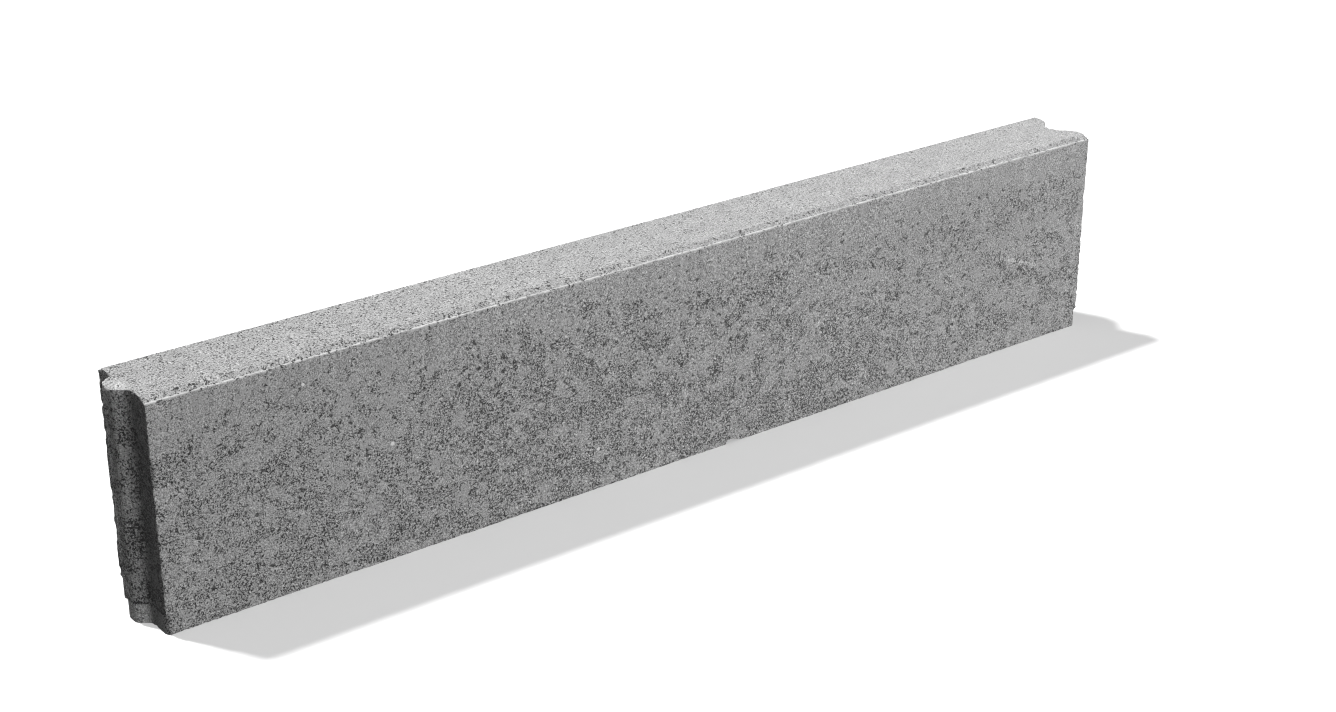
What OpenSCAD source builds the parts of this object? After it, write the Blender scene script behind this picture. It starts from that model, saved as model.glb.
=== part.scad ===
// Concrete edging kerb stone, pressed as one piece, with a tongue on its left end
// and a matching groove in its right end. X runs along the kerb, Y across its
// thickness and Z up. The origin is on the bed face, halfway between the two ends.

/* [Body] */
// Laid length, from shoulder to shoulder
length = 1000; // [400:10:1500]
// Height from the bed face to the top face
height = 200; // [120:5:400]
// Thickness between the two side faces
thickness = 80; // [66:1:150]

/* [Top edges] */
// Width of the pressed border along each long top edge, rim included
border_w = 7; // [4:0.5:12]
// Width of the flat rim at the outside of the border
rim_w = 1.6; // [0.8:0.2:3]
// Depth of the rim below the top face
rim_drop = 3.4; // [1:0.2:8]

/* [Tongue and groove] */
// Width of the tongue where its flanks meet the end face
tongue_root_w = 34; // [30:1:46]
// Width of the tongue where its flanks would meet the tip
tongue_tip_w = 16; // [12:1:22]
// Reach of the tongue out of the end face
tongue_reach = 12; // [10:0.5:16]
// Radius of the two tip corners of the tongue
tip_r = 9; // [4:0.5:10]
// Radius of the hollow at the tongue's root and of the rounded groove mouth
root_r = 3; // [1:0.5:4]
// Gap between a tongue and the groove that it seats in, all round
joint_gap = 1.2; // [0.5:0.1:3]

/* [Foot] */
// Height of the foot band, up to the ledge on the tongue
foot_h = 18; // [8:1:40]
// Set-back of the tongue within the foot band
foot_setback = 2; // [0.5:0.25:3]
// Radius of the four upright corners within the foot band
foot_corner_r = 6; // [2:0.5:12]

/* [Hidden] */

$fn = 96;
end_x = length / 2;
rim_z = height - rim_drop;

// How far a cutter runs past the face that it cuts
cut_over = 5;

// Unit normal of a tongue flank, as [outward, across]
flank_length = norm([tongue_reach, (tongue_root_w - tongue_tip_w) / 2]);
flank_normal = [(tongue_root_w - tongue_tip_w) / 2, tongue_reach] / flank_length;

// Centre of a tip corner's round, as [outward, across]
tip_out = tongue_reach - tip_r;
tip_centre = [
    tip_out,
    tongue_root_w / 2 - (tip_r + flank_normal[0] * tip_out) / flank_normal[1]
];

function mirrored(p) = [p[0], -p[1]];

// Section across the kerb: upright sides and, at both top edges, a bevel down to a flat rim
module section_outline() {
    side = thickness / 2;
    right_half = [
        [side, 0],
        [side, rim_z],
        [side - rim_w, rim_z],
        [side - border_w, height]
    ];
    left_half = [for (i = [len(right_half) - 1 : -1 : 0]) [-right_half[i][0], right_half[i][1]]];
    polygon(concat(right_half, left_half));
}

// Plan of the tongue in front of its end face, grown all round by a gap.
// It reaches along +X from the end face at x = 0, which its cut-off back lies behind.
module joint_plan(gap, back) {
    root_half = tongue_root_w / 2 + gap / flank_normal[1];
    hollow = [root_r, root_half + root_r * (1 - flank_normal[0]) / flank_normal[1]];
    flank_start = hollow - root_r * flank_normal;
    flank_end = tip_centre + (tip_r + gap) * flank_normal;
    tip = [tongue_reach + gap, tip_centre[1]];
    upper = [[-back, hollow[1]], [0, hollow[1]], flank_start, flank_end, tip];
    lower = [for (i = [len(upper) - 1 : -1 : 0]) mirrored(upper[i])];
    difference() {
        union() {
            polygon(concat(upper, lower));
            translate(tip_centre) circle(r = tip_r + gap);
            translate(mirrored(tip_centre)) circle(r = tip_r + gap);
        }
        translate(hollow) circle(r = root_r);
        translate(mirrored(hollow)) circle(r = root_r);
    }
}

// Tongue on the left end: full above the foot band, set back within it
module tongue() {
    translate([-end_x, 0, 0]) mirror([1, 0, 0]) {
        translate([0, 0, foot_h]) linear_extrude(height - foot_h) joint_plan(0, cut_over);
        linear_extrude(foot_h) joint_plan(-foot_setback, cut_over);
    }
}

// Cutter for the groove in the right end, open at the top and at the bed
module groove_cutter() {
    translate([end_x, 0, -cut_over]) mirror([1, 0, 0])
        linear_extrude(height + 2 * cut_over) joint_plan(joint_gap, cut_over);
}

// Cutter that rounds one upright corner, which lies at the origin with the kerb in -X -Y
module corner_cutter() {
    translate([-foot_corner_r, -foot_corner_r, -cut_over])
        linear_extrude(foot_h + cut_over) difference() {
            square(foot_corner_r + cut_over);
            circle(r = foot_corner_r);
        }
}

module kerb_stone() {
    color("darkgray") difference() {
        union() {
            translate([-end_x, 0, 0]) rotate([90, 0, 90]) linear_extrude(length) section_outline();
            tongue();
        }
        groove_cutter();
        for (left = [0, 1], front = [0, 1])
            mirror([left, 0, 0]) mirror([0, front, 0])
                translate([end_x, thickness / 2, 0]) corner_cutter();
    }
}

kerb_stone();
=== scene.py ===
import math
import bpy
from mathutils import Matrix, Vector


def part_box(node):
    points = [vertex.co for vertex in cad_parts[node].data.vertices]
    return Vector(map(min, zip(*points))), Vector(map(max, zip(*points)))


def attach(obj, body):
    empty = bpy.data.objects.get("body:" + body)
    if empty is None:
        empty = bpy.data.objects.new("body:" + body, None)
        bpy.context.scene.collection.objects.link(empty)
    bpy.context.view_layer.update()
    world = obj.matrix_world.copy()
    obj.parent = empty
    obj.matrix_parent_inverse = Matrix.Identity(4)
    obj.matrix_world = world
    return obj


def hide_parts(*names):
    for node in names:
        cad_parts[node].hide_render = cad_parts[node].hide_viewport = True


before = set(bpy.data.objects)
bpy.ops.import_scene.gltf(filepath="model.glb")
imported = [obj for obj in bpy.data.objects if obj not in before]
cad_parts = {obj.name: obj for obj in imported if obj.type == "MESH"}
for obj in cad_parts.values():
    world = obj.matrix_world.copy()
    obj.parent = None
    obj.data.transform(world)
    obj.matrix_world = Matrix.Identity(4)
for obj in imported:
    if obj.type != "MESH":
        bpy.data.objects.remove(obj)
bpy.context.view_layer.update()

from types import SimpleNamespace

import bpy
import numpy as np
from mathutils import Vector

MM = 0.001
CM = 10 * MM

# Main sizes, read from the frame
low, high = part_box("kerb_stone")
LENGTH = 2 * high.x
HEIGHT = high.z
END_X = LENGTH / 2
SIDE_Y = (high.y - low.y) / 2
TONGUE_REACH = -low.x - high.x

# Pressed border along the long top edges: a bevel down to a flat rim
BORDER_W = 7 * MM
RIM_W = 1.6 * MM
RIM_DROP = 3.4 * MM
BORDER_Y = SIDE_Y - BORDER_W
RIM_Y = SIDE_Y - RIM_W
RIM_Z = HEIGHT - RIM_DROP

# Tongue and groove
TONGUE_ROOT_W = 34 * MM
TONGUE_TIP_W = 16 * MM
TIP_R = 9 * MM
ROOT_R = 3 * MM
JOINT_GAP = 1.2 * MM

# Foot band, and the sloped ledge that ends it
FOOT_H = 18 * MM
FOOT_SETBACK = 2 * MM
FOOT_CORNER_R = 6 * MM
LEDGE_H = 1.6 * MM

# Mesh fineness, with grid lines closer together about the joint and on the border
GRID_STEP = 1.3 * MM
JOINT_STEP = 0.8 * GRID_STEP
JOINT_HALF = 20 * MM
BEVEL_STEPS = 4
RIM_STEPS = 2
MAX_TRIANGLES = 190000
SHARP_ANGLE = math.radians(50)


# Smooth noise on a lattice of random values

# Large odd numbers that scatter the lattice's values
SCATTER_X = 73856093
SCATTER_Y = 19349663
SCATTER_Z = 83492791
SCATTER_SEED = 374761393
SCATTER_AGAIN = 1274126177
LOW_32_BITS = 0xFFFFFFFF
LOW_24_BITS = 0xFFFFFF


def lattice_value(ix, iy, iz, seed):
    """One random number from -1 to 1 for each lattice point."""
    mixed = ix * SCATTER_X ^ iy * SCATTER_Y ^ iz * SCATTER_Z ^ seed * SCATTER_SEED
    mixed = (mixed ^ (mixed >> 13)) & LOW_32_BITS
    mixed = (mixed * SCATTER_AGAIN) & LOW_32_BITS
    mixed = (mixed ^ (mixed >> 16)) & LOW_24_BITS
    return mixed / (LOW_24_BITS // 2) - 1


def noise(points, width, seed):
    """Smooth noise from -1 to 1 at points (..., 3), with features of about that width."""
    scaled = points / width
    base = np.floor(scaled).astype(np.int64)
    part = scaled - base
    part = part * part * (3 - 2 * part)
    result = 0
    for dx in (0, 1):
        wx = part[..., 0] if dx else 1 - part[..., 0]
        for dy in (0, 1):
            wy = part[..., 1] if dy else 1 - part[..., 1]
            for dz in (0, 1):
                wz = part[..., 2] if dz else 1 - part[..., 2]
                corner = lattice_value(base[..., 0] + dx, base[..., 1] + dy, base[..., 2] + dz, seed)
                result = result + wx * wy * wz * corner
    return result


def layer(points, strength, width, seed):
    return strength * noise(points, width, seed)


def smooth_step(value, start, end):
    t = np.clip((value - start) / (end - start), 0, 1)
    return t * t * (3 - 2 * t)


# Plan of the tongue and of the groove

def joint_depth(across, gap):
    """How far the joint's plan lies from the end face, at each place across the thickness."""
    lean = (TONGUE_ROOT_W - TONGUE_TIP_W) / 2
    flank = math.hypot(TONGUE_REACH, lean)
    out_n = lean / flank
    across_n = TONGUE_REACH / flank
    tip_out = TONGUE_REACH - TIP_R
    tip_across = TONGUE_ROOT_W / 2 - (TIP_R + out_n * tip_out) / across_n
    tip_r = TIP_R + gap
    root_half = TONGUE_ROOT_W / 2 + gap / across_n
    hollow_across = root_half + ROOT_R * (1 - out_n) / across_n

    a = np.abs(across)
    tip = tip_out + np.sqrt(np.clip(tip_r ** 2 - np.clip(a - tip_across, 0, tip_r) ** 2, 0, None))
    side = (root_half - a) * across_n / out_n
    hollow = ROOT_R - np.sqrt(ROOT_R ** 2 - np.clip(hollow_across - a, 0, ROOT_R) ** 2)
    depth = np.where(a < tip_across + tip_r * across_n, tip, side)
    return np.where(a > hollow_across - ROOT_R * across_n, hollow, depth)


# Grid lines of the block: along the length, across the thickness and up the height

def grid_lines(start, *stretches):
    """Grid lines from a start, through stretches that each have an end and a number of steps."""
    made = [np.array([start])]
    for end, steps in stretches:
        made.append(np.linspace(made[-1][-1], end, steps + 1)[1:])
    return np.concatenate(made)


def steps_in(distance, step):
    return max(1, round(distance / step))


along = np.linspace(0, 1, steps_in(LENGTH, GRID_STEP) + 1)
half_across = grid_lines(
    0.0,
    (JOINT_HALF, steps_in(JOINT_HALF, JOINT_STEP)),
    (BORDER_Y, steps_in(BORDER_Y - JOINT_HALF, GRID_STEP)),
    (RIM_Y, BEVEL_STEPS),
    (SIDE_Y, RIM_STEPS),
)
across = np.concatenate([-half_across[:0:-1], half_across])
upward = np.linspace(0, 1, steps_in(HEIGHT, GRID_STEP) + 1)
nx, ny, nz = len(along), len(across), len(upward)

top_z = HEIGHT - RIM_DROP * np.clip((np.abs(across) - BORDER_Y) / (RIM_Y - BORDER_Y), 0, 1)
tongue_full = joint_depth(across, 0)
tongue_foot = joint_depth(across, -FOOT_SETBACK)
groove = joint_depth(across, JOINT_GAP)


def block_points(i, j, k):
    """Places of grid points on the plain block, before any relief."""
    y = across[j]
    z = upward[k] * top_z[j]
    foot = 1 - smooth_step(z, FOOT_H - LEDGE_H / 2, FOOT_H + LEDGE_H / 2)
    left = -END_X - tongue_full[j] * (1 - foot) - tongue_foot[j] * foot
    right = END_X - groove[j]
    x = left + along[i] * (right - left)

    # Upright corners are rounded within the foot band
    over_x = np.abs(x) - (END_X - FOOT_CORNER_R)
    over_y = np.abs(y) - (SIDE_Y - FOOT_CORNER_R)
    in_corner = (over_x > 0) & (over_y > 0)
    reach = np.hypot(over_x, over_y)
    pull = np.where(in_corner, foot * (1 - np.maximum(over_x, over_y) / reach), 0)
    x = x - np.sign(x) * over_x * pull
    y = y - np.sign(y) * over_y * pull
    return np.stack([x, y, z], -1)


# Relief of the cast faces, always inward from the plain block

SEED = 11
rng = np.random.default_rng(SEED)

# Noise in the relief: strength, width of its features and seed
LONG_WAVES = (1.0, 75 * MM, 1)
SHORT_WAVES = (0.6, 24 * MM, 2)
COARSE_GRAIN = (0.5, 6 * MM, 3)
FINE_GRAIN = (1.0, 2.8 * MM, 4)
PIT_PATCHES = (0.6, 13 * MM, 5)
PIT_DRIFTS = (0.45, 40 * MM, 6)
EVEN_PATCHES = (0.5, 15 * MM, 7)
BROAD_WEAR = (0.5, 11 * MM, 21)
FINE_WEAR = (0.9, 4 * MM, 22)
NOTCH_WEAR = (0.2, 4 * MM, 31)

# Shape of the pits, with depth and reach as shares of their radius
PIT_DEPTH = (0.45, 0.9)
PIT_REACH = 1.6
PIT_STRETCH = (1.0, 1.5)
PIT_RAGGED = 0.25
PIT_LOBES = 3
PIT_STEEPNESS = 0.7
PIT_SMALLNESS = 3
DEEP_PIT = 1.2 * MM

# Share of the pits that stays: drifts on the sides, fewer in the pressed upper part, none at the foot
SIDE_SHARE = 0.5
EVEN_SHARE = 0.6
DRIFT_STRETCH = (0.4, 1, 1)
PRESSED_LOSS = 0.4
FEWER_PITS_Z = (HEIGHT - 50 * MM, HEIGHT - 12 * MM)
NO_PITS_H = 6 * MM

# Wear of the edges: width for its depth, share that is usual, and limits of that share
WEAR_WIDTH = 3.5
WEAR_SHARE = 0.25
WEAR_LIMITS = (0.08, 1.4)
CORNER_SPARED = 0.75
CORNER_FADE_H = 4 * MM
DRAW_IN_WIDTH = 3

# Notch broken out of the lower front edge, tall and deep near its left end and thin at its right
CHIP_LEFT = 50 * MM
CHIP_RIGHT = 69 * MM
CHIP_H = 4.5 * MM
CHIP_DEPTH = 11 * MM
CHIP_OPEN_AT = 0.16
CHIP_CLOSING_AT = 0.5

# Lengths too small to matter
ON_FACE = 1e-6
TINY = 1e-9


def stamp_pits(a, b, density, per_cm2, smallest, largest):
    """Height map of ragged pits on a grid with lines a and b. Density from 0 to 1 thins them out."""
    heights = np.zeros((len(a), len(b)))
    count = int((a[-1] - a[0]) * (b[-1] - b[0]) / CM ** 2 * per_cm2)
    place_a = rng.uniform(a[0], a[-1], count)
    place_b = rng.uniform(b[0], b[-1], count)
    radius = smallest * (largest / smallest) ** (rng.random(count) ** PIT_SMALLNESS)
    depth = radius * rng.uniform(*PIT_DEPTH, count)
    stretch = rng.uniform(*PIT_STRETCH, count)
    turn = rng.uniform(0, math.pi, count)
    phase = rng.uniform(0, 2 * math.pi, count)
    near_a = np.clip(np.searchsorted(a, place_a), 0, len(a) - 1)
    near_b = np.clip(np.searchsorted(b, place_b), 0, len(b) - 1)
    kept = np.flatnonzero(rng.random(count) < density[near_a, near_b])
    for p in kept:
        wide = radius[p] * PIT_REACH
        a0, a1 = np.searchsorted(a, (place_a[p] - wide, place_a[p] + wide))
        b0, b1 = np.searchsorted(b, (place_b[p] - wide, place_b[p] + wide))
        da = (a[a0:a1] - place_a[p])[:, None]
        db = (b[b0:b1] - place_b[p])[None, :]
        u = (da * math.cos(turn[p]) + db * math.sin(turn[p])) / (radius[p] * stretch[p])
        w = (db * math.cos(turn[p]) - da * math.sin(turn[p])) / (radius[p] / stretch[p])
        ragged = 1 + PIT_RAGGED * np.sin(PIT_LOBES * np.arctan2(w, u) + phase[p])
        bowl = -depth[p] * np.clip(1 - (u * u + w * w) * ragged, 0, 1) ** PIT_STEEPNESS
        heights[a0:a1, b0:b1] = np.minimum(heights[a0:a1, b0:b1], bowl)
    return heights


def side_density(points):
    z = points[..., 2]
    drifts = layer(points, *PIT_PATCHES) + layer(points * DRIFT_STRETCH, *PIT_DRIFTS)
    pressed = smooth_step(z, *FEWER_PITS_Z)
    return np.clip(SIDE_SHARE + drifts - PRESSED_LOSS * pressed, 0, 1) * smooth_step(z, 0, NO_PITS_H)


def even_density(points):
    return np.clip(EVEN_SHARE + layer(points, *EVEN_PATCHES), 0, 1)


def rough_skin(points, wave, grain):
    """Long waves and fine grain of the cast skin."""
    waves = layer(points, *LONG_WAVES) + layer(points, *SHORT_WAVES)
    grains = layer(points, *COARSE_GRAIN) + layer(points, *FINE_GRAIN)
    return wave * waves + grain * grains


def edge_wear(distance, points, depth):
    """Ragged rounding by distance from an edge, with little of it on the foot's round corners."""
    ragged = WEAR_SHARE + layer(points, *BROAD_WEAR) + layer(points, *FINE_WEAR)
    x, y, z = np.abs(np.moveaxis(points, -1, 0))
    corner = (x > END_X - FOOT_CORNER_R) & (y > SIDE_Y - FOOT_CORNER_R)
    spared = np.where(corner, CORNER_SPARED * smooth_step(z, FOOT_H, FOOT_H - CORNER_FADE_H), 0)
    rounding = np.clip(1 - distance / (WEAR_WIDTH * depth), 0, 1) ** 2
    return -depth * np.clip(ragged, *WEAR_LIMITS) * (1 - spared) * rounding


def broken_notch(plain):
    """How far points of the front and of the bed move in to line the notch in the lower front edge."""
    x, y, z = np.moveaxis(plain, -1, 0)
    share = (x - CHIP_LEFT) / (CHIP_RIGHT - CHIP_LEFT)
    open_here = smooth_step(share, 0, CHIP_OPEN_AT)
    ragged = 1 + layer(plain * (1, 0, 0), *NOTCH_WEAR)
    ceiling = np.maximum(CHIP_H * (1 - share) * open_here * ragged, TINY)
    wall = np.maximum(CHIP_DEPTH * smooth_step(share, 1, CHIP_CLOSING_AT) * open_here * ragged, TINY)
    from_front = y + SIDE_Y
    up = np.where(from_front < wall, ceiling * (1 - from_front / wall), 0)
    inward = np.where(z < ceiling, wall * (1 - z / ceiling), 0)
    moved = np.zeros_like(plain)
    front = from_front < ON_FACE
    bed = z < ON_FACE
    moved[..., 1] = np.where(front, inward, np.where(bed & (up > 0), wall - from_front, 0))
    moved[..., 2] = np.where(bed, up, np.where(front & (inward > 0), ceiling - z, 0))
    return moved


# Six faces of the block

def face_grid(i, j, k):
    return np.meshgrid(i, j, k, indexing="ij")


def axis_normal(x, y, z):
    return np.array([x, y, z], float)


def unit(vectors):
    return vectors / np.linalg.norm(vectors, axis=-1, keepdims=True)


def plan_normals(depth, outward):
    """Normals of an end that lies a depth beyond its end face, for each line across."""
    slope = np.gradient(depth, across)
    return unit(np.stack([np.full_like(slope, outward), -slope, np.zeros_like(slope)], -1))


def top_normals():
    slope = np.gradient(top_z, across)
    return unit(np.stack([np.zeros_like(slope), -slope, np.ones_like(slope)], -1))


LONG_LINES = along * LENGTH - END_X
TALL_LINES = upward * HEIGHT

# Relief of both tall sides: pits a cm2 and their radii, height of waves and grain, wear of the four edges
TALL_SIDE = {
    "lines": (LONG_LINES, TALL_LINES),
    "density": side_density,
    "pits": (3.6, 0.7 * MM, 2.3 * MM),
    "skin": (0.22 * MM, 0.10 * MM),
    "wear": (1.4 * MM, 0.7 * MM, 0.35 * MM, 0.3 * MM),
}

# Each face: its grid of point numbers, its normals, which way its triangles turn, and its relief
FACES = {
    "front": {
        "grid": face_grid(range(nx), [0], range(nz)),
        "normals": axis_normal(0, -1, 0),
        "flip": False,
        **TALL_SIDE,
    },
    "back": {
        "grid": face_grid(range(nx), [ny - 1], range(nz)),
        "normals": axis_normal(0, 1, 0),
        "flip": True,
        **TALL_SIDE,
    },
    "top": {
        "grid": face_grid(range(nx), range(ny), [nz - 1]),
        "normals": top_normals()[None],
        "flip": False,
        "lines": (LONG_LINES, across),
        "density": even_density,
        "pits": (3.0, 0.7 * MM, 1.5 * MM),
        "skin": (0.12 * MM, 0.10 * MM),
        "wear": (1.4 * MM, 0.9 * MM, 0.3 * MM, 0.3 * MM),
    },
    "bed": {
        "grid": face_grid(range(nx), range(ny), [0]),
        "normals": axis_normal(0, 0, -1),
        "flip": True,
        "lines": (LONG_LINES, across),
        "density": even_density,
        "pits": (2.0, 0.8 * MM, 2.4 * MM),
        "skin": (0.10 * MM, 0.06 * MM),
        "wear": (0.5 * MM, 0.5 * MM, 0.35 * MM, 0.35 * MM),
    },
    "left": {
        "grid": face_grid([0], range(ny), range(nz)),
        "normals": plan_normals(tongue_full, -1)[:, None],
        "flip": True,
        "lines": (across, TALL_LINES),
        "density": even_density,
        "pits": (4.5, 0.7 * MM, 1.7 * MM),
        "skin": (0.15 * MM, 0.12 * MM),
        "wear": (1.0 * MM, 1.0 * MM, 0.8 * MM, 0.8 * MM),
    },
    "right": {
        "grid": face_grid([nx - 1], range(ny), range(nz)),
        "normals": plan_normals(-groove, 1)[:, None],
        "flip": False,
        "lines": (across, TALL_LINES),
        "density": even_density,
        "pits": (3.5, 0.7 * MM, 2.0 * MM),
        "skin": (0.15 * MM, 0.14 * MM),
        "wear": (0.5 * MM, 0.5 * MM, 0.6 * MM, 0.6 * MM),
    },
}


def shared_points():
    """Places of all points on the plain block, and each face's point numbers, which edges share."""
    keys = {}
    for name, face in FACES.items():
        i, j, k = face["grid"]
        keys[name] = np.squeeze((i * ny + j) * nz + k)
    unique = np.unique(np.concatenate([key.ravel() for key in keys.values()]))
    i, rest = np.divmod(unique, ny * nz)
    j, k = np.divmod(rest, nz)
    return block_points(i, j, k), {name: np.searchsorted(unique, key) for name, key in keys.items()}


def face_relief(face, points):
    """Heights of a face's relief, none above the plain block, and how deep in a pit each point lies."""
    a, b = face["lines"]
    pits = stamp_pits(a, b, face["density"](points), *face["pits"])
    skin = rough_skin(points, *face["skin"])
    heights = skin - skin.max() + pits
    from_edges = ((a - a[0])[:, None], (a[-1] - a)[:, None], b - b[0], b[-1] - b)
    for distance, depth in zip(from_edges, face["wear"]):
        heights += edge_wear(distance, points, depth)
    return heights, np.clip(-pits / DEEP_PIT, 0, 1)


def draw_in(face, ids, offsets):
    """Moves of a face's points that follow its worn edges inward, so that no cell folds over."""
    normals = np.broadcast_to(face["normals"], ids.shape + (3,))
    moves = np.zeros(ids.shape + (3,))
    for axis, lines in enumerate(face["lines"]):
        for edge, distance in ((0, lines - lines[0]), (-1, lines[-1] - lines)):
            normal = np.take(normals, [edge], axis)
            pull = offsets[np.take(ids, [edge], axis)]
            pull = pull - normal * (pull * normal).sum(-1, keepdims=True)
            reach = DRAW_IN_WIDTH * np.linalg.norm(pull, axis=-1) + TINY
            far = np.expand_dims(distance, 1 - axis)
            moves += pull * (np.clip(1 - far / reach, 0, 1) ** 2)[..., None]
    return moves[1:-1, 1:-1]


def carve(plain, grids):
    """Places of the points with the relief and the notch, and how deep in a pit each of them lies."""
    offsets = np.zeros_like(plain)
    pitted = np.zeros(len(plain))
    for name, face in FACES.items():
        heights, pit = face_relief(face, plain[grids[name]])
        np.add.at(offsets, grids[name], face["normals"] * heights[..., None])
        np.maximum.at(pitted, grids[name], pit)
    for name, face in FACES.items():
        offsets[grids[name][1:-1, 1:-1]] += draw_in(face, grids[name], offsets)
    return plain + offsets + broken_notch(plain), pitted


# Mesh of the kerb

def grid_triangles(ids, flip):
    """Two triangles for each grid cell, with diagonals that alternate."""
    p00, p10 = ids[:-1, :-1], ids[1:, :-1]
    p01, p11 = ids[:-1, 1:], ids[1:, 1:]
    rows, columns = np.indices(p00.shape)
    odd = ((rows + columns) % 2 == 1)[..., None, None]
    rising = np.stack([np.stack([p00, p10, p11], -1), np.stack([p00, p11, p01], -1)], -2)
    falling = np.stack([np.stack([p00, p10, p01], -1), np.stack([p10, p11, p01], -1)], -2)
    triangles = np.where(odd, rising, falling).reshape(-1, 3)
    return triangles[:, ::-1] if flip else triangles


def mesh_from(name, vertices, triangles):
    mesh = bpy.data.meshes.new(name)
    mesh.vertices.add(len(vertices))
    mesh.vertices.foreach_set("co", vertices.astype(np.float32).ravel())
    mesh.loops.add(triangles.size)
    mesh.loops.foreach_set("vertex_index", triangles.astype(np.int32).ravel())
    mesh.polygons.add(len(triangles))
    mesh.polygons.foreach_set("loop_start", np.arange(0, triangles.size, 3, dtype=np.int32))
    mesh.update(calc_edges=True)
    return mesh


def add_values(mesh, name, kind, domain, values):
    mesh.attributes.new(name, kind, domain).data.foreach_set("value", values)


def add_object(name, data):
    added = bpy.data.objects.new(name, data)
    bpy.context.scene.collection.objects.link(added)
    return added


def thinned(mesh):
    """The mesh with flat stretches thinned out to the triangle limit, kept inside the plain block's box."""
    holder = add_object("thinning", mesh)
    thin = holder.modifiers.new("thin", "DECIMATE")
    thin.ratio = MAX_TRIANGLES / len(mesh.polygons)
    evaluated = holder.evaluated_get(bpy.context.evaluated_depsgraph_get())
    result = bpy.data.meshes.new_from_object(evaluated)
    bpy.data.objects.remove(holder)
    place = np.empty(len(result.vertices) * 3, np.float32)
    result.vertices.foreach_get("co", place)
    inside = np.clip(place.reshape(-1, 3), low, high)
    result.vertices.foreach_set("co", inside.astype(np.float32).ravel())
    return result


def unfold(mesh):
    """Flat map of the faces, unfolded one above the other."""
    gap = 5 * MM
    sheet_w = LENGTH + TONGUE_REACH + 2 * gap
    sheet_h = 3 * HEIGHT + 4 * SIDE_Y + 6 * gap
    arc = np.concatenate([[0], np.cumsum(np.hypot(np.diff(across), np.diff(tongue_full)))])
    place = np.empty(len(mesh.vertices) * 3, np.float32)
    mesh.vertices.foreach_get("co", place)
    corner = np.empty(len(mesh.loops), np.int32)
    mesh.loops.foreach_get("vertex_index", corner)
    x, y, z = place.reshape(-1, 3)[corner].T
    side = np.empty(len(mesh.polygons), np.int32)
    mesh.attributes["side"].data.foreach_get("value", side)
    side = np.repeat(side, 3)
    length_u = x + END_X + TONGUE_REACH + gap
    end_u = np.interp(y, across, arc) + gap
    rows = {
        "front": (length_u, z + gap),
        "back": (length_u, z + HEIGHT + 2 * gap),
        "top": (length_u, y + SIDE_Y + 2 * HEIGHT + 3 * gap),
        "bed": (length_u, y + 3 * SIDE_Y + 2 * HEIGHT + 4 * gap),
        "left": (end_u, z + 4 * SIDE_Y + 2 * HEIGHT + 5 * gap),
        "right": (end_u + arc[-1] + gap, z + 4 * SIDE_Y + 2 * HEIGHT + 5 * gap),
    }
    flat = np.zeros((len(corner), 2), np.float32)
    for number, name in enumerate(FACES):
        here = side == number
        for axis, sheet in enumerate((sheet_w, sheet_h)):
            flat[here, axis] = rows[name][axis][here] / sheet
    uv_map = mesh.uv_layers.new(name="OFBake")
    uv_map.uv.foreach_set("vector", flat.ravel())


def kerb_mesh():
    """One closed mesh, with the pit depth and share of top that the material reads at each point."""
    plain, grids = shared_points()
    carved, pitted = carve(plain, grids)
    upper = np.zeros(len(plain))
    upper[grids["top"]] = 1
    triangles = [grid_triangles(grids[name], face["flip"]) for name, face in FACES.items()]
    sides = np.repeat(range(len(triangles)), [len(made) for made in triangles])
    dense = mesh_from("kerb_dense", carved, np.concatenate(triangles))
    add_values(dense, "side", "INT", "FACE", sides.astype(np.int32))
    add_values(dense, "pit", "FLOAT", "POINT", pitted.astype(np.float32))
    add_values(dense, "upper", "FLOAT", "POINT", upper.astype(np.float32))
    mesh = thinned(dense)
    mesh.name = "kerb_concrete"
    mesh.shade_smooth()
    mesh.set_sharp_from_angle(angle=SHARP_ANGLE)
    unfold(mesh)
    return mesh


# Fields: values that vary over a surface and that shader nodes work out

class Field:
    """One output of a shader node. Arithmetic with it adds further nodes to its tree."""

    def __init__(self, tree, socket):
        self.tree = tree
        self.socket = socket

    def __add__(self, other):
        return combined("ADD", self, other)

    def __sub__(self, other):
        return combined("SUBTRACT", self, other)

    def __rsub__(self, other):
        return combined("SUBTRACT", other, self)

    def __mul__(self, other):
        return combined("MULTIPLY", self, other)

    def __abs__(self):
        return combined("ABSOLUTE", self)

    __radd__ = __add__
    __rmul__ = __mul__


def set_inputs(tree, node, inputs):
    """Links a node's inputs to fields or sets them to plain values."""
    for key, value in inputs.items():
        if isinstance(value, Field):
            tree.links.new(value.socket, node.inputs[key])
        else:
            node.inputs[key].default_value = value


def add_node(tree, kind, inputs, **settings):
    node = tree.nodes.new("ShaderNode" + kind)
    for key, value in settings.items():
        setattr(node, key, value)
    set_inputs(tree, node, inputs)
    return node


def field(tree, kind, output, inputs, **settings):
    """The field that one output of a new node gives."""
    return Field(tree, add_node(tree, kind, inputs, **settings).outputs[output])


def combined(operation, *values):
    """A field worked out from fields and plain numbers."""
    tree = next(value.tree for value in values if isinstance(value, Field))
    return field(tree, "Math", 0, dict(enumerate(values)), operation=operation)


def larger(first, second):
    return combined("MAXIMUM", first, second)


def ramp(value, start, end, first=0.0, last=1.0):
    """A smooth step from a first to a last number, while a field goes from start to end."""
    inputs = dict(enumerate((value, start, end, first, last)))
    return field(value.tree, "MapRange", 0, inputs, interpolation_type="SMOOTHSTEP")


def mix(share, first, second):
    """The first number where a share is 0, the second where it is 1."""
    return field(share.tree, "Mix", 0, {0: share, 2: first, 3: second}, data_type="FLOAT")


def swing(value, amount):
    """A factor that swings about 1 with a field of noise."""
    return value * (2 * amount) + (1 - amount)


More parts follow.
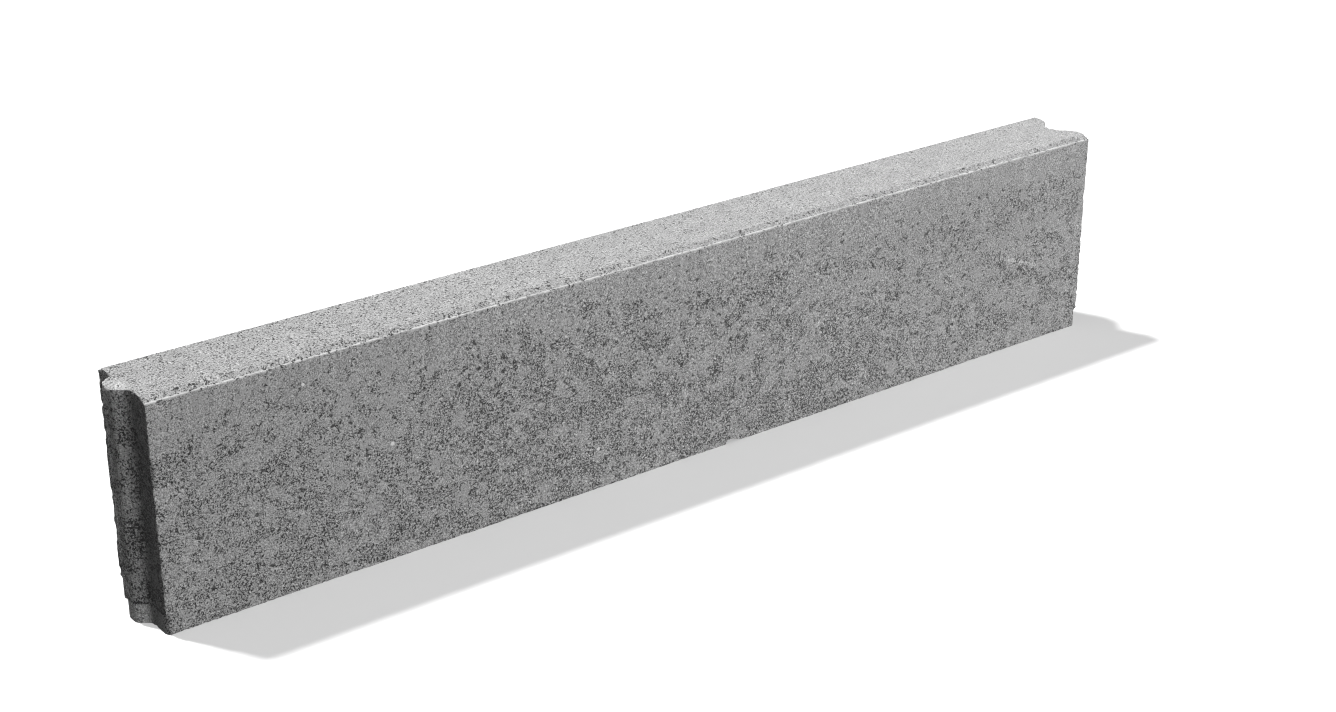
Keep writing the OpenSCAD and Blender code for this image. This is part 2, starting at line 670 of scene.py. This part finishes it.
def axes_of(place):
    node = add_node(place.tree, "SeparateXYZ", {"Vector": place})
    return [Field(place.tree, axis) for axis in node.outputs]


def attribute(tree, name):
    return field(tree, "Attribute", "Fac", {}, attribute_name=name)


def stretched(place, scale):
    return field(place.tree, "Mapping", 0, {"Vector": place, "Scale": scale})


def noise_field(place, scale, detail, roughness):
    inputs = {"Vector": place, "Scale": scale, "Detail": detail, "Roughness": roughness}
    return field(place.tree, "TexNoise", "Fac", inputs)


# Concrete

# Noise, from sand up to long soft clouds: features a metre, detail and roughness
SAND = (900.0, 2.0, 0.6)
GRIT = (680.0, 3.0, 0.65)
CRUMBS = (400.0, 3.0, 0.6)
VEINS = (260.0, 2.0, 0.55)
STREAKS = (170.0, 2.0, 0.55)
PATCHES = (115.0, 2.0, 0.55)
DRIFTS = (60.0, 2.0, 0.55)
BANDS = (24.0, 2.0, 0.55)
CLOUDS = (9.0, 2.0, 0.55)
STREAK_STRETCH = (1.0, 1.0, 0.05)
BAND_STRETCH = (0.35, 1.0, 1.0)
CLOUD_STRETCH = (0.5, 1.0, 1.0)
NOISE_MIDDLE = 0.5

# Stones just under the skin: cells a metre, radius in cells, and their uneven soft outline
STONE_CELLS = 48.0
STONE_SIZES = (0.35, 1.0)
STONE_R = 0.42
STONE_OUTLINE = (190.0, 1.0, 0.55)
STONE_UNEVEN = 0.3
STONE_FADE = (0.03, -0.06)

# Zones of the kerb: where each begins and where it is full
PRESSED_Z = (HEIGHT - 55 * MM, HEIGHT - 8 * MM)
BEVEL_Y = (BORDER_Y - 0.6 * MM, BORDER_Y + 0.4 * MM)
# Line along the rim and the top of the front face, painted lighter: a painted highlight, partly a paler worn
# edge
RIM_EDGE_Y = (RIM_Y - 0.7 * MM, RIM_Y)
RIM_EDGE_Z = (RIM_Z - 1.8 * MM, RIM_Z - 0.8 * MM)
RIM_CRUMBS = (0.62, 0.54)
LEFT_END_X = (1.5 * MM - END_X, 0.5 * MM - END_X)
FOOT_Z = (FOOT_H + MM, FOOT_H - 2 * MM)
# Line along the left end's ledge with dark specks: painted shadow under the tongue's overhang, partly a
# crack
FROM_LEDGE = (2 * MM, 0.5 * MM)
# Front flat of the left end beside the tongue, darkened with painted shade
FRONT_FLAT_SHADE_Y = (-10 * MM, -18 * MM)
FROM_HALFWAY = (330 * MM, 120 * MM)

# Pale marks on the front: pebbles by place along, place up and radius, and a scrape from a start to an end
PEBBLES = [
    (-369 * MM, 176 * MM, 1.8 * MM),
    (-91 * MM, 38 * MM, 2.0 * MM),
    (-293 * MM, 103 * MM, 2.2 * MM),
]
PEBBLE_CORE = 0.6
SCRAPE_START = (386 * MM, 100 * MM)
SCRAPE_END = (439 * MM, 79 * MM)
SCRAPE_W = 3 * MM
SCRAPE_CORE = 0.4
SCRAPE_FADE = 3 * MM
SCRAPE_CRUMBS = (0.55, 0.49)
SCRAPE_SHARE = 0.55

# Crumbly skin: swing with noise, loss on stones and pressed parts, and lean to the left and down
CRUMBLY_SWING = 0.44
CRUMBLY_LOSS = 0.15
CRUMBLY_TO_LEFT = 0.05
CRUMBLY_Z = (150 * MM, 60 * MM)
CRUMBLY_DOWN = 0.03
CRUMBLY = (0.41, 0.57)

# How far the skin is open to specks on the sides and ends
OPEN_SMOOTH = -0.065
OPEN_CRUMBLY = 0.015
OPEN_HALFWAY = 0.013
OPEN_FOOT = -0.08
# Dark specks along the ledge: painted shadow under the tongue's overhang, partly a crack
OPEN_LEDGE_CRACK_AND_SHADOW = 0.10
OPEN_LEFT_END = 0.045
OPEN_PRESSED = -0.03
OPEN_PRESSED_X = (-300 * MM, 200 * MM)

# How far it is open on the top
OPEN_TOP_SWING = 0.2
OPEN_BEVEL = 0.010
OPEN_TOP_TO_LEFT = 0.035

# Specks and pores: noise at which each begins and at which it is full
SIDE_FINE = (0.56, 0.60)
SIDE_BROAD = (0.525, 0.555)
CRACKS = (0.068, 0.028)
TOP_FINE = (0.595, 0.635)
TOP_BROAD = (0.62, 0.65)
PORES = (0.75, 1.05)
PORE_GRIT = 0.6
PORE_SHARE = 0.8

# Tone of the paste: sand that shows less where the skin is smooth, and pale grains and crumbs
PASTE_TONES = (0.250, 0.277)
SAND_SPAN = (0.25, 0.75)
SAND_TONES = (1.60, 0.41)
SMOOTH_STONES = 0.5
SMOOTH_TOP = 0.4
SMOOTH_TONE = 1.04
PALE_GRIT = (0.42, 0.37)
PALE_GRIT_TONE = 1.45
PALE_CRUMBS = (0.46, 0.34)
PALE_SIDE_TONE = 1.2
PALE_HALFWAY = 0.3
PALE_TOP_TONE = 1.25

# Tones of the zones, as factors of the paste's
STREAK_SWING = 0.24
BEVEL_TONE = 0.835
BEVEL_TO_LEFT = 0.07
# The left end's foot band is paler: partly smoother paste, partly painted light bounced up from the floor
FOOT_PALE_AND_BOUNCE_TONE = 1.3
SIDE_TONE_Z = (170 * MM, 20 * MM)
SIDE_TONES = (0.985, 1.065)
MOTTLED_X = 120 * MM
FROM_MOTTLED = (420 * MM, 60 * MM)
MOTTLED_SWING = 0.20
TOP_TONE = 1.08
TOP_DRIFT_SWING = 0.22
TOP_PATCH_SWING = 0.16
LEFT_END_TONE = 1.35
# Painted shade on the left end's front flat beside the tongue
FRONT_FLAT_PAINTED_SHADE = 0.45

# Tones of their own: the rim's painted highlight, partly a paler worn edge, pale marks, and specks from the
# left to the right
RIM_WEAR_AND_HIGHLIGHT_TONE = 0.40
RIM_SWING = 0.5
MARK_TONE = 0.58
SPECK_X = (-400 * MM, 100 * MM)
SPECK_TONES = (0.03, 0.055)

# Finish
ROUGHNESS = (0.82, 0.98)
SPECULAR = 0.3
BUMP_STRENGTH = 0.8
BUMP_H = 0.5 * MM


def buried_stones(place):
    """Smooth rounded patches where a stone lies just under the skin."""
    cell = add_node(place.tree, "TexVoronoi", {"Vector": place, "Scale": STONE_CELLS})
    from_centre = Field(place.tree, cell.outputs["Distance"])
    colour = Field(place.tree, cell.outputs["Color"])
    size = field(place.tree, "SeparateColor", 0, {"Color": colour})
    radius = ramp(size, *STONE_SIZES, 0.0, STONE_R)
    uneven = STONE_UNEVEN * (noise_field(place, *STONE_OUTLINE) - NOISE_MIDDLE)
    return ramp(from_centre + uneven - radius, *STONE_FADE)


def add_noise(at, place):
    at.sand = noise_field(place, *SAND)
    at.grit = noise_field(place, *GRIT)
    at.crumbs = noise_field(place, *CRUMBS)
    at.veins = noise_field(place, *VEINS)
    at.streak = noise_field(stretched(place, STREAK_STRETCH), *STREAKS)
    at.patch = noise_field(place, *PATCHES)
    at.drift = noise_field(place, *DRIFTS)
    at.band = noise_field(stretched(place, BAND_STRETCH), *BANDS)
    at.cloud = noise_field(stretched(place, CLOUD_STRETCH), *CLOUDS)
    at.stones = buried_stones(place)


def add_zones(at):
    from_middle = abs(at.y)
    at.side = 1.0 - at.top
    at.pressed = at.side * ramp(at.z, *PRESSED_Z)
    at.bevel = at.top * ramp(from_middle, *BEVEL_Y)
    # Rim line: painted highlight, partly a paler worn edge
    at.rim = ramp(from_middle, *RIM_EDGE_Y) * ramp(at.z, *RIM_EDGE_Z) * ramp(at.crumbs, *RIM_CRUMBS)
    at.left_end = ramp(at.x, *LEFT_END_X)
    at.foot = at.left_end * ramp(at.z, *FOOT_Z)
    # Ledge line: painted shadow under the tongue's overhang, partly a crack
    at.ledge = at.left_end * ramp(abs(at.z - FOOT_H), *FROM_LEDGE)
    # Front flat beside the tongue: painted shade
    at.front_flat = at.left_end * ramp(at.y, *FRONT_FLAT_SHADE_Y)
    at.halfway = ramp(abs(at.x), *FROM_HALFWAY)


def surface_fields(tree):
    """What is known at a point: its place, whether it is on the top or in a pit, and its noise and zones."""
    at = SimpleNamespace()
    place = field(tree, "TexCoord", "Object", {})
    at.x, at.y, at.z = axes_of(place)
    at.top = attribute(tree, "upper")
    at.pit = attribute(tree, "pit")
    add_noise(at, place)
    add_zones(at)
    return at


def scrape(at):
    """A pale line with gaps in it."""
    run_x = SCRAPE_END[0] - SCRAPE_START[0]
    run_z = SCRAPE_END[1] - SCRAPE_START[1]
    run = math.hypot(run_x, run_z)
    off_x = at.x - SCRAPE_START[0]
    off_z = at.z - SCRAPE_START[1]
    along_run = off_x * (run_x / run) + off_z * (run_z / run)
    off_run = off_z * (run_x / run) - off_x * (run_z / run)
    line = ramp(abs(off_run), SCRAPE_W, SCRAPE_CORE * SCRAPE_W)
    line = line * ramp(along_run, 0.0, SCRAPE_FADE) * ramp(along_run, run, run - SCRAPE_FADE)
    return line * ramp(at.crumbs, *SCRAPE_CRUMBS, 0.0, SCRAPE_SHARE)


def pale_marks(at):
    """Pebbles and a scrape on the front, as in the photograph."""
    marks = scrape(at)
    for place_x, place_z, radius in PEBBLES:
        off_x = at.x - place_x
        off_z = at.z - place_z
        from_centre = combined("SQRT", off_x * off_x + off_z * off_z)
        marks = larger(marks, ramp(from_centre, radius, PEBBLE_CORE * radius))
    return marks * ramp(at.y, 0.0, -SIDE_Y / 2)


def crumbly_share(at):
    """Crumbly stretches between islands of smooth paste, more of them lower down and to the left."""
    lean = CRUMBLY_SWING * (at.drift - NOISE_MIDDLE) + CRUMBLY_SWING * (at.band - NOISE_MIDDLE)
    lean = lean - CRUMBLY_LOSS * at.stones - CRUMBLY_LOSS * at.pressed - CRUMBLY_TO_LEFT * at.x
    lean = lean + ramp(at.z, *CRUMBLY_Z, -CRUMBLY_DOWN, CRUMBLY_DOWN)
    return ramp(at.patch + lean, *CRUMBLY)


def side_specks(at):
    """Dark specks of the sides and ends. The broad ones are broken up into short cracks."""
    open_skin = mix(crumbly_share(at), OPEN_SMOOTH, OPEN_CRUMBLY) + OPEN_HALFWAY * at.halfway
    # Dark specks along the ledge are painted shadow, partly a crack
    open_skin = open_skin + OPEN_FOOT * at.foot + OPEN_LEDGE_CRACK_AND_SHADOW * at.ledge + OPEN_LEFT_END * at.left_end
    open_skin = open_skin + at.pressed * ramp(at.x, *OPEN_PRESSED_X, 0.0, OPEN_PRESSED)
    cracks = ramp(abs(at.veins - NOISE_MIDDLE), *CRACKS)
    fine = ramp(at.grit + open_skin, *SIDE_FINE)
    broad = ramp(at.crumbs + open_skin, *SIDE_BROAD) * cracks
    return larger(fine, broad)


def top_specks(at):
    """Dark specks of the top, fewer of them to the right."""
    open_skin = OPEN_TOP_SWING * (at.patch - NOISE_MIDDLE)
    open_skin = open_skin + OPEN_BEVEL * at.bevel - OPEN_TOP_TO_LEFT * at.x
    fine = ramp(at.grit + open_skin, *TOP_FINE)
    broad = ramp(at.crumbs + open_skin, *TOP_BROAD)
    return larger(fine, broad)


def dark_spots(at, marks):
    """Specks and pores, with none on the rim's painted highlight and on the pale marks."""
    specks = mix(at.top, side_specks(at), top_specks(at))
    pores = ramp(at.pit + PORE_GRIT * at.grit, *PORES, 0.0, PORE_SHARE)
    return larger(specks, pores) * (1.0 - larger(at.rim, marks))


def paste_tone(at):
    """Tone of the paste, with sand, pale grains and pale crumbs in it."""
    smooth = larger(SMOOTH_STONES * at.stones, SMOOTH_TOP * at.top)
    sand = mix(smooth, ramp(at.sand, *SAND_SPAN, *SAND_TONES), SMOOTH_TONE)
    pale_grains = ramp(at.grit, *PALE_GRIT, 1.0, PALE_GRIT_TONE)
    palest = mix(at.top, PALE_HALFWAY * at.halfway + PALE_SIDE_TONE, PALE_TOP_TONE)
    pale_crumbs = ramp(at.crumbs, *PALE_CRUMBS, 1.0, palest)
    return mix(at.cloud, *PASTE_TONES) * sand * pale_grains * pale_crumbs


def zone_tone(at):
    """How much lighter or darker than the paste each zone is."""
    streaks = mix(at.pressed, 1.0, swing(at.streak, STREAK_SWING))
    bevel = mix(at.bevel, 1.0, BEVEL_TONE - BEVEL_TO_LEFT * at.x)
    # Paler foot band: partly smoother paste, partly painted bounce light from the floor
    foot = mix(at.foot, 1.0, FOOT_PALE_AND_BOUNCE_TONE)
    sides = mix(at.top, ramp(at.z, *SIDE_TONE_Z, *SIDE_TONES), 1.0)
    mottled_here = at.side * ramp(abs(at.x - MOTTLED_X), *FROM_MOTTLED)
    mottled = mix(mottled_here, 1.0, swing(at.veins, MOTTLED_SWING))
    uneven = swing(at.drift, TOP_DRIFT_SWING) * swing(at.patch, TOP_PATCH_SWING)
    top = mix(at.top, 1.0, uneven * TOP_TONE)
    # Paler left end, with painted shade on its front flat beside the tongue
    left_end = mix(at.left_end, 1.0, LEFT_END_TONE) * mix(at.front_flat, 1.0, FRONT_FLAT_PAINTED_SHADE)
    return streaks * bevel * foot * sides * mottled * top * left_end


def concrete_tone(at, marks, dark):
    tone = paste_tone(at) * zone_tone(at)
    # Painted highlight along the rim, partly a paler worn edge
    tone = mix(at.rim, tone, RIM_WEAR_AND_HIGHLIGHT_TONE * swing(at.drift, RIM_SWING))
    tone = mix(marks, tone, MARK_TONE)
    return mix(dark, tone, ramp(at.x, *SPECK_X, *SPECK_TONES))


def concrete_material():
    """Grey pressed concrete. The colour's dark spots and its sand also lie a little deeper."""
    material = bpy.data.materials.new("concrete")
    material.use_nodes = True
    tree = material.node_tree
    tree.nodes.clear()
    at = surface_fields(tree)
    marks = pale_marks(at)
    dark = dark_spots(at, marks)
    tone = concrete_tone(at, marks, dark)
    colour = field(tree, "CombineColor", 0, {"Red": tone, "Green": tone, "Blue": tone})
    relief = -1.0 * (dark + at.sand)
    bump = field(tree, "Bump", 0, {"Strength": BUMP_STRENGTH, "Distance": BUMP_H, "Height": relief})
    looks = {
        "Base Color": colour,
        "Roughness": mix(at.grit, *ROUGHNESS),
        "Specular IOR Level": SPECULAR,
        "Normal": bump,
    }
    shader = field(tree, "BsdfPrincipled", 0, looks)
    add_node(tree, "OutputMaterial", {0: shader})
    return material


# The kerb

kerb = add_object("kerb_concrete", kerb_mesh())
kerb.data.materials.append(concrete_material())
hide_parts("kerb_stone")
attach(kerb, "root")


# Floor, light and camera

# Plain pale floor
FLOOR_HALF = 12.0
FLOOR_COLOUR = (0.85, 0.85, 0.85, 1)
FLOOR_ROUGHNESS = 0.9
FLOOR_SPECULAR = 0.1

# Suns from high up behind, one for the kerb and one for the floor, where the shadow falls to the right
KERB_SUN = Vector((0.0, 1.2, 3.1))
FLOOR_SUN = Vector((-0.65, 1.27, 3.1))
SUN_STRENGTH = 4.1
SUN_SOFTNESS = math.radians(5)

# Even light on the floor that casts no shadow
FLOOR_LIFT = Vector((0.0, 0.0, 3.0))
LIFT_STRENGTH = 1.55

# Soft lights in front: place, power and width
RIGHT_FILL = (Vector((1.25, -1.8, 1.0)), 48, 1.4)
LEFT_FILL = (Vector((-0.4, -2.0, 0.9)), 17, 1.0)

# Light from all round, and more of it from overhead
WHITE = (1, 1, 1, 1)
AMBIENT = 0.07
OVERHEAD = 0.35

# Photograph's frame and the camera that stands in its place
IMAGE_W = 1336
FOCAL_PX = 2330
SENSOR_MM = 36
CAMERA_PLACE = Vector((-1.137, -1.501, 0.921))
CAMERA_YAW = math.radians(37.5)
CAMERA_PITCH = math.radians(23.9)
PIXEL_FILTER_W = 1.2


def floor_material():
    material = bpy.data.materials.new("floor")
    material.use_nodes = True
    shader = material.node_tree.nodes["Principled BSDF"]
    shader.inputs["Base Color"].default_value = FLOOR_COLOUR
    shader.inputs["Roughness"].default_value = FLOOR_ROUGHNESS
    shader.inputs["Specular IOR Level"].default_value = FLOOR_SPECULAR
    return material


def add_floor():
    half = FLOOR_HALF
    corners = [(-half, -half, 0), (half, -half, 0), (half, half, 0), (-half, half, 0)]
    mesh = bpy.data.meshes.new("floor")
    mesh.from_pydata(corners, [], [(0, 1, 2, 3)])
    mesh.materials.append(floor_material())
    floor = add_object("floor", mesh)
    floor.visible_diffuse = False
    return floor


def aim(pointed, place, ahead):
    """Puts a lamp or a camera in its place and turns it to look ahead."""
    pointed.location = place
    pointed.rotation_euler = ahead.to_track_quat("-Z", "Y").to_euler()


def add_lamp(light, place, target, lit):
    """A lamp that lights one object and nothing else."""
    lamp = add_object(light.name, light)
    aim(lamp, place, target - place)
    receivers = bpy.data.collections.new(lamp.name + "_receivers")
    receivers.objects.link(lit)
    lamp.light_linking.receiver_collection = receivers


def add_sun(name, target, place, strength, lit, shadow=True):
    light = bpy.data.lights.new(name, "SUN")
    light.energy = strength
    light.angle = SUN_SOFTNESS
    light.use_shadow = shadow
    add_lamp(light, place, target, lit)


def add_fill_light(name, target, place, power, width, lit):
    light = bpy.data.lights.new(name, "AREA")
    light.shape = "DISK"
    light.size = width
    light.energy = power
    add_lamp(light, place, target, lit)


def add_world():
    """Dim light from all round and more from overhead, behind which the camera sees plain white."""
    world = bpy.data.worlds.new("studio")
    world.use_nodes = True
    tree = world.node_tree
    up = larger(axes_of(field(tree, "TexCoord", "Generated", {}))[2], 0.0)
    strength = up * up * OVERHEAD + AMBIENT
    seen = field(tree, "LightPath", "Is Camera Ray", {})
    set_inputs(tree, tree.nodes["Background"], {"Color": WHITE, "Strength": mix(seen, strength, 1.0)})
    bpy.context.scene.world = world


def add_camera():
    data = bpy.data.cameras.new("camera")
    data.sensor_fit = "HORIZONTAL"
    data.sensor_width = SENSOR_MM
    data.lens = FOCAL_PX / IMAGE_W * SENSOR_MM
    camera = add_object("camera", data)
    level = math.cos(CAMERA_PITCH)
    ahead = Vector((math.sin(CAMERA_YAW) * level, math.cos(CAMERA_YAW) * level, -math.sin(CAMERA_PITCH)))
    aim(camera, CAMERA_PLACE, ahead)
    bpy.context.scene.camera = camera


middle = Vector((0, 0, HEIGHT / 2))
floor = add_floor()
add_sun("kerb_sun", middle, KERB_SUN, SUN_STRENGTH, kerb)
add_sun("floor_sun", middle, FLOOR_SUN, SUN_STRENGTH, floor)
add_sun("floor_lift", middle, FLOOR_LIFT, LIFT_STRENGTH, floor, shadow=False)
add_fill_light("right_fill", middle, *RIGHT_FILL, kerb)
add_fill_light("left_fill", middle, *LEFT_FILL, kerb)
add_world()
add_camera()
bpy.context.scene.view_settings.view_transform = "Standard"
bpy.context.scene.cycles.filter_width = PIXEL_FILTER_W
bpy.context.scene.cycles.denoising_prefilter = "NONE"
